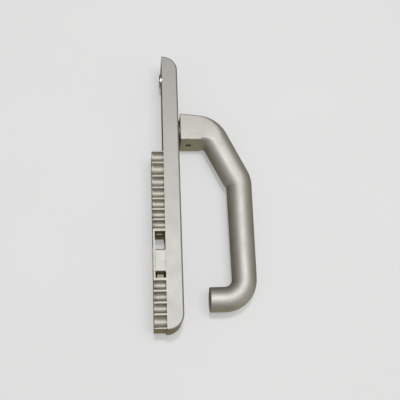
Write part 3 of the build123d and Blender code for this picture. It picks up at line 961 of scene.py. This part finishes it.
@dataclass
class Lever(Piece):
    """The cast lever, from the cut end of the grip up to the neck and its journal in the plate.

    Attributes:
        reach: Distance of the grip's axis from the plate's back plane.
        drop: Distance of the return's axis below the turning axis.
        end_reach: Place of the cut end of the return.
        radius: The grip's radius at its lower bend.
        top_radius: Its radius under the knee.
        bend_radius: Radius of the lower bend.
        knee_radius: Radius of the knee between the grip and the diagonal.
        knee_top: Section at the upper end of the knee.
        slope: Angle of the diagonal below horizontal, in degrees.
        diagonal_top: Section at the upper end of the diagonal.
        neck_bend_radius: Radius of the bend between the diagonal and the neck.
        droop: Angle that the neck falls by, in degrees.
        neck_start: Place of the neck's back face.
        bend_start: Place where the neck's bend starts.
        neck_width: The neck's width.
        neck_height: Its height at the back.
        neck_front_height: Its height where the bend starts.
        neck_corner: Radius of its corners.
        sharp_from: Angle from which an edge isn't shaded smooth, in degrees.
        rim: Radius of the rims at the grip's end, the neck's back and the journal's end.
        journal_end: Place of the journal's rear end.
        journal_radius: Its radius.
        groove_back: Place of the rear wall of the retaining ring's groove.
        groove_front: Place of its front wall.
        groove_radius: Radius of its floor.
        shoulder: Place of the shoulder between the journal and the neck.
        shoulder_radius: Its radius.
        journal_root: How deep the journal's form stands in the neck.
        spindle_side: Side of the spindle's square socket.
        spindle_hold: How deep the socket goes into the neck.
        grub_radius: Radius of the grub screw's hole.
        grub_place: Distance of that hole from the neck's back face.
    """

    node: str = "lever_handle"
    finish: Finish = LEVER_ALLOY
    body: Body = Body.LEVER
    reach: float = 62.2 * MM
    drop: float = 142.4 * MM
    end_reach: float = 34.2 * MM
    radius: float = 9.9 * MM
    top_radius: float = 10.55 * MM
    bend_radius: float = 16.4 * MM
    knee_radius: float = 18.0 * MM
    knee_top: Section = Section(21.8 * MM, 22.9 * MM, 10.4 * MM)
    slope: float = 64.3
    diagonal_top: Section = Section(24.2 * MM, 22.3 * MM, 9.6 * MM)
    neck_bend_radius: float = 15.8 * MM
    droop: float = 3.3
    neck_start: float = 14.5 * MM
    bend_start: float = 31.5 * MM
    neck_width: float = 26.0 * MM
    neck_height: float = 23.9 * MM
    neck_front_height: float = 22.1 * MM
    neck_corner: float = 1.6 * MM
    sharp_from: float = 40.0
    rim: float = 0.35 * MM
    journal_end: float = 6.9 * MM
    journal_radius: float = 8.0 * MM
    groove_back: float = 7.1 * MM
    groove_front: float = 8.1 * MM
    groove_radius: float = 7.2 * MM
    shoulder: float = 14.3 * MM
    shoulder_radius: float = 8.7 * MM
    journal_root: float = 1.0 * MM
    spindle_side: float = 8.0 * MM
    spindle_hold: float = 12.0 * MM
    grub_radius: float = 2.5 * MM
    grub_place: float = 7.0 * MM

    def build(self) -> bpy.types.Object:
        """Models the lever.

        Returns:
            The lever's object.
        """
        grip_top = Section.circle(self.top_radius)
        neck_front = Section(self.neck_width, self.neck_front_height, self.neck_corner)
        neck_back = Section(self.neck_width, self.neck_height, self.neck_corner)
        journal = self._journal()
        lengths = self._lengths()
        end = Vector((self.end_reach, 0.0, -self.drop))
        bar = DrawnRing("lever", end, self.radius, Vector((1.0, 0.0, 0.0)))
        bar.forward(self.reach - self.bend_radius - self.end_reach, steps=3)
        bar.bend(self.bend_radius, 90.0, steps=14)
        bar.forward(lengths["grip"], steps=8, section=grip_top)
        bar.bend(self.knee_radius, 90.0 - self.slope, steps=7, section=self.knee_top)
        bar.forward(lengths["diagonal"], steps=10, section=self.diagonal_top)
        bar.bend(self.neck_bend_radius, self.slope - self.droop, steps=12, section=neck_front)
        bar.forward(lengths["neck"], steps=5, section=neck_back)
        bar.turn(self.droop)
        bar.close(self.rim)
        Workbench.carve(bar.piece, journal, Carving.JOIN_ON)
        for hole in self._holes():
            Workbench.carve(bar.piece, hole)
        Workbench.smooth(bar.piece, self.sharp_from)
        return bar.piece

    def _journal(self) -> bpy.types.Object:
        """Turns the journal behind the neck, with its shoulder and the groove of the ring.

        Returns:
            The journal, whose front end lies inside the neck.
        """
        turning = Turning("journal", Vector((self.journal_end, 0.0, 0.0)), self.journal_radius - self.rim)
        turning.to(self.journal_end + self.rim, self.journal_radius)
        turning.to(self.groove_back).to(self.groove_back, self.groove_radius)
        turning.to(self.groove_front).to(self.groove_front, self.journal_radius)
        turning.to(self.shoulder).to(self.shoulder, self.shoulder_radius)
        turning.to(self.neck_start + self.journal_root)
        return turning.done()

    def _holes(self) -> list[bpy.types.Object]:
        """Makes the tools that cut the spindle's square socket and the grub screw's hole.

        Returns:
            The tools.
        """
        side = self.spindle_side
        end = self.journal_end - OVERSHOOT
        depth = self.neck_start + self.spindle_hold - end
        square = Workbench.start(
            "socket",
            bpy.ops.mesh.primitive_cube_add,
            size=1.0,
            location=(end + depth / 2, 0.0, 0.0),
            scale=(depth, side, side),
        )
        Workbench.leave()
        bottom = -self.neck_height
        round_hole = Workbench.start(
            "grub_hole",
            bpy.ops.mesh.primitive_cylinder_add,
            vertices=32,
            radius=self.grub_radius,
            depth=-bottom,
            location=(self.neck_start + self.grub_place, 0.0, bottom / 2),
        )
        Workbench.leave()
        return [square, round_hole]

    def _lengths(self) -> dict[str, float]:
        """Works out the straight stretches from the bends between them.

        Returns:
            The lengths of the grip, the diagonal and the neck.
        """
        slope = math.radians(self.slope)
        droop = math.radians(self.droop)
        neck_turn = self.neck_bend_radius * (math.sin(slope) - math.sin(droop))
        knee_turn = self.knee_radius * (1 - math.sin(slope))
        neck_run = self.bend_start - self.neck_start
        diagonal = (self.reach - self.neck_start - knee_turn - neck_turn - neck_run) / math.cos(slope)
        fall = neck_run * math.tan(droop) + self.neck_bend_radius * (math.cos(droop) - math.cos(slope))
        fall += diagonal * math.sin(slope) + self.knee_radius * math.cos(slope)
        grip = self.drop - self.bend_radius - fall
        return {"grip": grip, "diagonal": diagonal, "neck": neck_run / math.cos(droop)}


@dataclass
class Backplate(Piece):
    """The long hollow plate, with a broad round edge on its front.

    Attributes:
        half_width: Half its width.
        depth: Its depth from the back plane to the front face.
        top: Place of its upper end.
        bottom: Place of its lower end.
        end_radius: Radius of its round ends, seen from the side.
        edge: Radius of the edge between its front and its sides.
        rim: Radius of the small edges at its back and in its hollow.
        rounded_from: Angle from which an edge is rounded, in degrees.
        margin: How far the form that rounds the edge stays clear of the plate's own faces.
        front_within: How near the front an edge counts as being on it.
    """

    node: str = "backplate"
    finish: Finish = PLATE_ALLOY
    body: Body = Body.BASE
    half_width: float = 14.0 * MM
    depth: float = 13.0 * MM
    top: float = 65.0 * MM
    bottom: float = -167.0 * MM
    end_radius: float = 12.5 * MM
    edge: float = 1.7 * MM
    rim: float = 0.2 * MM
    rounded_from: float = 50.0
    margin: float = 0.04 * MM
    front_within: float = 1.0 * MM

    def build(self) -> bpy.types.Object:
        """Models the plate.

        Returns:
            The plate's object.
        """
        plate = Workbench.copy_of(self.node, "plate")
        Workbench.carve(plate, self._outside(), Carving.KEEP_INSIDE)
        Workbench.round_edges(plate, self.rim, faces=2, degrees=self.rounded_from)
        return plate

    def _outside(self) -> bpy.types.Object:
        """Makes a block just larger than the plate, with two round ends and round front edges.

        Returns:
            The outer form.
        """
        back = -OVERSHOOT
        depth = self.depth + self.margin - back
        height = self.top - self.bottom + 2 * self.margin
        block = Workbench.start(
            "plate_outside",
            bpy.ops.mesh.primitive_cube_add,
            size=1.0,
            location=(back + depth / 2, 0.0, (self.top + self.bottom) / 2),
            scale=(depth, 2 * (self.half_width + self.margin), height),
        )
        Workbench.choose(block, Element.EDGES, self._across_an_end)
        bpy.ops.mesh.bevel(offset=self.end_radius, segments=24, affect="EDGES")
        Workbench.choose(block, Element.EDGES, self._on_the_front)
        bpy.ops.mesh.bevel(offset=self.edge, segments=6, affect="EDGES")
        Workbench.leave()
        return block

    def _across_an_end(self, edge: bmesh.types.BMEdge) -> bool:
        """Says whether an edge of the block runs across the plate at the front of an end.

        Args:
            edge: The edge.

        Returns:
            Whether it does.
        """
        low = min(vertex.co.x for vertex in edge.verts)
        run = abs(edge.verts[0].co.y - edge.verts[1].co.y)
        return low > self.depth - self.front_within and run > self.half_width

    def _on_the_front(self, edge: bmesh.types.BMEdge) -> bool:
        """Says whether an edge of the block lies between a side and the front or an end.

        Args:
            edge: The edge.

        Returns:
            Whether it does.
        """
        middle = (edge.verts[0].co + edge.verts[1].co) / 2
        along_back = max(vertex.co.x for vertex in edge.verts) < 0.0
        return abs(abs(middle.y) - self.half_width) < self.rim and not along_back


@dataclass
class GearHousing(Piece):
    """The ribbed block behind the plate, whose back follows the pockets in its sides.

    Attributes:
        half_width: Half its width.
        back: Place of its back.
        top: Place of its upper end.
        window_bottom: Place of the window's lower edge.
        lip: How far the nearest pocket stays from the window.
        upper_pitches: Heights of the pockets above the window, from the top, in millimetres.
        lower_pitches: Heights of the pockets below it, in millimetres.
        crest: Height of the crest between two pockets.
        scallop: How deep the pockets' form is cut into the edge of the back.
        scallop_length: How long the bars are that cut it.
        scallop_stand: How far the bars stand out of the back.
        rim: Radius of the small edges.
        rounded_from: Angle from which an edge is rounded, in degrees.
    """

    node: str = "gear_housing"
    finish: Finish = HOUSING_ALLOY
    body: Body = Body.BASE
    half_width: float = 13.0 * MM
    back: float = -9.6 * MM
    top: float = -22.3 * MM
    window_bottom: float = -127.0 * MM
    lip: float = 1.2 * MM
    upper_pitches: tuple[float, ...] = (10.0, 11.4, 10.0, 9.3, 8.8, 8.5, 8.2)
    lower_pitches: tuple[float, ...] = (8.7, 9.0, 8.9, 10.7)
    crest: float = 1.3 * MM
    scallop: float = 2.6 * MM
    scallop_length: float = 2.0 * MM
    scallop_stand: float = 0.5 * MM
    rim: float = 0.25 * MM
    rounded_from: float = 40.0

    def build(self) -> bpy.types.Object:
        """Models the housing.

        Returns:
            The housing's object.
        """
        housing = Workbench.copy_of(self.node, "housing")
        for hand in (-1, 1):
            Workbench.carve(housing, self._scallops(hand))
        Workbench.round_edges(housing, self.rim, faces=2, degrees=self.rounded_from)
        return housing

    def _pockets(self) -> list[Span]:
        """Works out the pockets from their pitches.

        Returns:
            Each pocket's middle and half height.
        """
        pockets = []
        upper = (self.top, self.upper_pitches)
        lower = (self.window_bottom - self.lip, self.lower_pitches)
        for start, pitches in (upper, lower):
            above = start
            for pitch in pitches:
                below = above - pitch * MM
                pockets.append(((above + below) / 2, (above - below - self.crest) / 2))
                above = below
        return pockets

    def _scallops(self, hand: int) -> bpy.types.Object:
        """Makes the tool that cuts one side's pockets into the edge of the back.

        Args:
            hand: 1 or -1, the side along Y.

        Returns:
            The tool, one round bar for each pocket.
        """
        bars = []
        for middle, half in self._pockets():
            radius = (half**2 + self.scallop**2) / (2 * self.scallop)
            centre = self.half_width - self.scallop + radius
            place = self.back + self.scallop_length / 2 - self.scallop_stand
            bar = Workbench.start(
                "scallop",
                bpy.ops.mesh.primitive_cylinder_add,
                vertices=96,
                radius=radius,
                depth=self.scallop_length,
                location=(place, hand * centre, middle),
                rotation=(0.0, QUARTER_TURN, 0.0),
            )
            Workbench.leave()
            bars.append(bar)
        Workbench.pick(*bars)
        bpy.ops.object.join()
        return bars[0]


@dataclass
class RoundedCopy(Piece):
    """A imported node's form with its sharp edges rounded off.

    Attributes:
        name: The new piece's name.
        rim: Radius of its edges.
        rounded_from: Angle from which an edge is rounded, in degrees.
    """

    name: str
    rim: float
    rounded_from: float = 40.0

    def build(self) -> bpy.types.Object:
        """Rounds the copy.

        Returns:
            The new piece.
        """
        piece = Workbench.copy_of(self.node, self.name)
        Workbench.round_edges(piece, self.rim, faces=3, degrees=self.rounded_from)
        return piece


# Small pieces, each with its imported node, finish, body, name and the radius of its edges
ROUNDED_COPIES = (
    RoundedCopy("driver_carriage", CARRIAGE_ALLOY, Body.SLIDER, "carriage", 0.5 * MM),
    RoundedCopy("slide_pad_upper", ACETAL, Body.SLIDER, "upper_pad", 0.3 * MM),
    RoundedCopy("slide_pad_lower", ACETAL, Body.SLIDER, "lower_pad", 0.3 * MM),
    RoundedCopy("driver_bush", ACETAL, Body.SLIDER, "bush_of_driver", 0.25 * MM),
    RoundedCopy("carriage_screws", PLATED_STEEL, Body.SLIDER, "screws_in_carriage", 0.15 * MM),
    RoundedCopy("rack_guide", ACETAL, Body.BASE, "guide_of_rack", 0.2 * MM),
    RoundedCopy("mechanism_cover", PLATED_STEEL, Body.BASE, "cover", 0.2 * MM),
    RoundedCopy("cover_screws", PLATED_STEEL, Body.BASE, "screws_in_cover", 0.12 * MM),
    RoundedCopy("housing_screws", PLATED_STEEL, Body.BASE, "screws_in_housing", 0.15 * MM),
    RoundedCopy("upper_fixing_insert", PLATED_STEEL, Body.BASE, "upper_insert", 0.3 * MM),
    RoundedCopy("lower_fixing_insert", PLATED_STEEL, Body.BASE, "lower_insert", 0.3 * MM),
    RoundedCopy("bearing_bush", BRASS, Body.BASE, "collar", 0.15 * MM),
    RoundedCopy("upper_buffer", RUBBER, Body.BASE, "buffer_above", 0.4 * MM),
    RoundedCopy("lower_buffer", RUBBER, Body.BASE, "buffer_below", 0.4 * MM),
    RoundedCopy("square_spindle", PLATED_STEEL, Body.LEVER, "spindle", 0.2 * MM),
)


@dataclass(frozen=True)
class Lamp:
    """A soft white area lamp.

    Attributes:
        name: Its name.
        direction: Where it stands, seen from the object.
        distance: How far away it stands.
        size: Its diameter.
        brightness: What a white surface that faces it would show.
    """

    name: str
    direction: Triple
    distance: float
    size: float
    brightness: float

    def build(self, target: Vector) -> None:
        """Adds the lamp.

        Args:
            target: The point that it lights.
        """
        lamp = bpy.data.lights.new(self.name, "AREA")
        lamp.shape = "DISK"
        lamp.size = self.size
        spread = self.distance**2 + (self.size / 2) ** 2
        lamp.energy = self.brightness * math.pi**2 * spread
        away = Vector(self.direction).normalized()
        holder = bpy.data.objects.new(self.name, lamp)
        holder.location = target + away * self.distance
        holder.rotation_mode = "QUATERNION"
        holder.rotation_quaternion = (-away).to_track_quat("-Z", "Y")
        bpy.context.scene.collection.objects.link(holder)


@dataclass
class Stage:
    """The pale table that the handle lies on, the room's light and the camera.

    In the room's spans a direction's parts run from -1 to 1, and the light grows from the first value to
    the second.

    Attributes:
        table_colour: Colour of the table.
        table_side: Its size.
        table_gap: How far behind the handle it lies.
        table_glow: Share of the table's colour that the camera sees without any shadow.
        cloud_size: Size of its slow patches of tone.
        cloud_share: How far they change its colour.
        room_colour: Colour of the dim room at table level.
        overhead_colour: Colour of the light ceiling over the table.
        overhead_span: Where the ceiling's light grows, away from the table.
        mirrored_table: Colour of the table where metal mirrors it.
        mirrored_span: Where it is mirrored, towards the table.
        mirrored_below: The same, towards the handle's lower end.
        side_share: How much of the mirrored table's colour the right side of the room has.
        side_span: Where that side begins.
        window_colour: Colour of the daylight.
        low_across: Where the low windows on both sides begin, to the side.
        low_below: The same, towards the handle's lower end.
        high_across: Where the high window on the right begins, to the side.
        high_above: The same, towards the handle's upper end.
        high_share: How bright the high window is beside the low ones.
        lamps: The lamps.
        camera_place: Where the camera stands.
        camera_aim: The way that it looks.
        camera_up: The way that is up in its picture.
        focal_length: In pictures, so the picture's side is 1.
        nearest: The nearest place that it sees.
    """

    table_colour: Colour = (0.75, 0.752, 0.762)
    table_side: float = 8.0
    table_gap: float = 0.05 * MM
    table_glow: float = 0.42
    cloud_size: float = 60 * MM
    cloud_share: float = 0.01
    room_colour: Colour = (0.11, 0.10, 0.025)
    overhead_colour: Colour = (0.40, 0.40, 0.39)
    overhead_span: Span = (0.15, 0.95)
    mirrored_table: Colour = (0.62, 0.57, 0.44)
    mirrored_span: Span = (0.10, 0.75)
    mirrored_below: Span = (-0.05, 0.35)
    side_share: float = 0.10
    side_span: Span = (0.25, 0.85)
    window_colour: Colour = (0.84, 0.82, 0.76)
    low_across: Span = (0.40, 0.75)
    low_below: Span = (0.08, 0.40)
    high_across: Span = (0.35, 0.75)
    high_above: Span = (0.45, 0.75)
    high_share: float = 0.6
    lamps: tuple[Lamp, ...] = (
        Lamp("key", direction=(-0.04, -0.99, 0.10), distance=1.3, size=0.10, brightness=0.36),
        Lamp("ceiling", direction=(0.16, -0.98, -0.04), distance=1.4, size=0.70, brightness=0.32),
    )
    camera_place: Triple = (-23.30 * MM, -523.84 * MM, -239.17 * MM)
    camera_aim: Triple = (0.09502, 0.94200, 0.32189)
    camera_up: Triple = (0.00778, -0.32405, 0.94601)
    focal_length: float = 1.7026
    nearest: float = 10 * MM

    def build(self) -> None:
        """Sets the stage."""
        low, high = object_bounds()
        middle = (low + high) / 2
        self._table(high.y)
        self._world()
        for lamp in self.lamps:
            lamp.build(middle)
        self._camera()

    def _table(self, height: float) -> None:
        """Adds the table, which is seen from its front only.

        Args:
            height: Its place along Y.
        """
        table = Workbench.start(
            "table",
            bpy.ops.mesh.primitive_plane_add,
            size=self.table_side,
            location=(0.0, height + self.table_gap, 0.0),
            rotation=(QUARTER_TURN, 0.0, 0.0),
        )
        Workbench.leave()
        table.data.materials.append(self._table_material())
        table.visible_diffuse = False
        table.visible_glossy = False
        table.visible_shadow = False
        table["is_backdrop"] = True

    def _table_material(self) -> bpy.types.Material:
        """Makes the table's material, partly lit and partly as even as the camera sees it.

        Returns:
            The material, which is clear from behind.
        """
        material = bpy.data.materials.new("pale_table")
        material.use_nodes = True
        bench = ShaderBench(material.node_tree)
        cloud = bench.noise(bench.place(), self.cloud_size)
        dark = scaled(self.table_colour, 1 - self.cloud_share)
        light = scaled(self.table_colour, 1 + self.cloud_share)
        colour = bench.mixed(cloud, dark, light)
        lit = bench.value("ShaderNodeBsdfDiffuse", inputs={"Color": colour})
        even = bench.value("ShaderNodeEmission", inputs={"Color": colour, "Strength": 1.0})
        seen = bench.value("ShaderNodeLightPath", output="Is Camera Ray") * self.table_glow
        front = bench.value("ShaderNodeMixShader", inputs={0: seen, 1: lit, 2: even})
        behind = bench.value("ShaderNodeNewGeometry", output="Backfacing")
        clear = bench.value("ShaderNodeBsdfTransparent")
        one_sided = bench.value("ShaderNodeMixShader", inputs={0: behind, 1: front, 2: clear})
        bench.node("ShaderNodeOutputMaterial", inputs={"Surface": one_sided})
        return material

    def _world(self) -> None:
        """Lights the room: bright overhead and at the windows, dim at table level.

        Metal mirrors the pale table where it lies, and the camera sees the table's colour all round.
        """
        world = bpy.data.worlds.new("room")
        world.use_nodes = True
        bpy.context.scene.world = world
        bench = ShaderBench(world.node_tree)
        direction = bench.value("ShaderNodeTexCoord", output="Generated")
        across, toward_table, height = bench.axes(direction)
        below = 0.0 - height
        overhead = (0.0 - toward_table).rise(*self.overhead_span)
        low_sides = abs(across).rise(*self.low_across) * below.rise(*self.low_below)
        high_right = across.rise(*self.high_across) * height.rise(*self.high_above)
        table = toward_table.rise(*self.mirrored_span) * below.rise(*self.mirrored_below)
        rays = bench.node("ShaderNodeLightPath").outputs
        seen = Channel(bench, rays["Is Camera Ray"]) + Channel(bench, rays["Is Transmission Ray"])
        mirrored = Channel(bench, rays["Is Glossy Ray"]) * table
        room = bench.mixed(overhead, self.room_colour, self.overhead_colour)
        room = bench.mixed(across.rise(*self.side_span) * self.side_share, room, self.mirrored_table)
        room = bench.mixed(mirrored, room, self.mirrored_table)
        room = bench.mixed(low_sides + high_right * self.high_share, room, self.window_colour)
        colour = bench.mixed(seen, room, self.table_colour)
        background = bench.value("ShaderNodeBackground", inputs={"Color": colour, "Strength": 1.0})
        bench.node("ShaderNodeOutputWorld", inputs={"Surface": background})

    def _camera(self) -> None:
        """Adds the camera at the photograph's viewing angle."""
        lens = bpy.data.cameras.new("camera")
        lens.lens = self.focal_length * lens.sensor_width
        lens.clip_start = self.nearest
        camera = bpy.data.objects.new("camera", lens)
        aim = Vector(self.camera_aim)
        up = Vector(self.camera_up)
        turn = Matrix((aim.cross(up), up, -aim)).transposed()
        camera.matrix_world = Matrix.Translation(self.camera_place) @ turn.to_4x4()
        bpy.context.scene.collection.objects.link(camera)
        bpy.context.scene.camera = camera


def main() -> None:
    """Builds the handle on its stage."""
    logging.basicConfig(level=logging.INFO, format="%(name)s: %(message)s")
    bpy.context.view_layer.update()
    bpy.context.scene.view_settings.view_transform = "Standard"
    Stage().build()
    for name, finish in NODE_FINISHES.items():
        dress_node(name, finish)
    for piece in (Lever(), Backplate(), GearHousing(), *ROUNDED_COPIES):
        piece.dress(piece.build())


if __name__ == "__main__":
    main()
